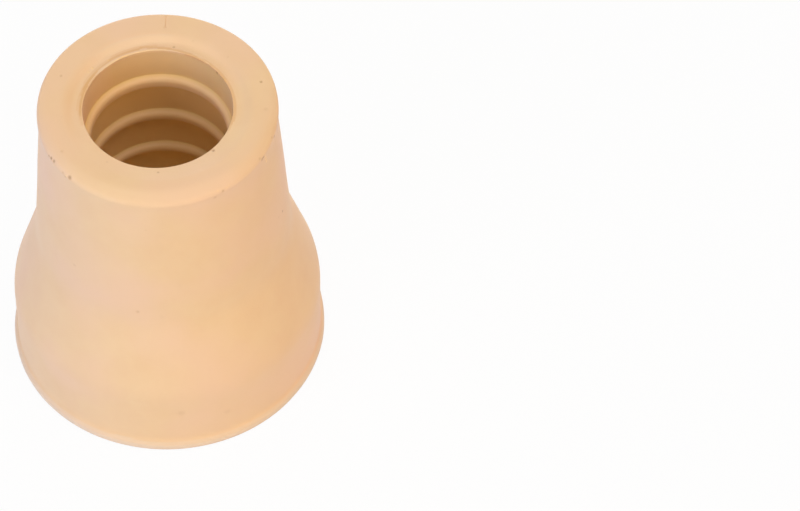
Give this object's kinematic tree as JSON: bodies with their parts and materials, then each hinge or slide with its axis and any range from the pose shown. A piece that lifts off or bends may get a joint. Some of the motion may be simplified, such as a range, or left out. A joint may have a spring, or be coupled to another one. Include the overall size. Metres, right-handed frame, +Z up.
{
  "type": "rubber cane tip",
  "caption": "Push-on rubber foot for a walking cane or crutch: a bell-shaped moulding with a ribbed round socket in its top and a dished tread with ring grooves under it.",
  "frame": {"origin": "centre of the tread, in the plane of the flat ring that the tip stands on", "axes": "+Z up the socket's axis, out of its mouth; X and Y lie in the floor plane and are free, because the tip is turned about Z"},
  "size_m": [0.0422, 0.0422, 0.047],
  "materials": {
    "rubber": "tan moulded rubber, matt to satin, solid colour all through"
  },
  "bodies": {
    "root": {"rubber_tip": "rubber"}
  },
  "joints": []
}
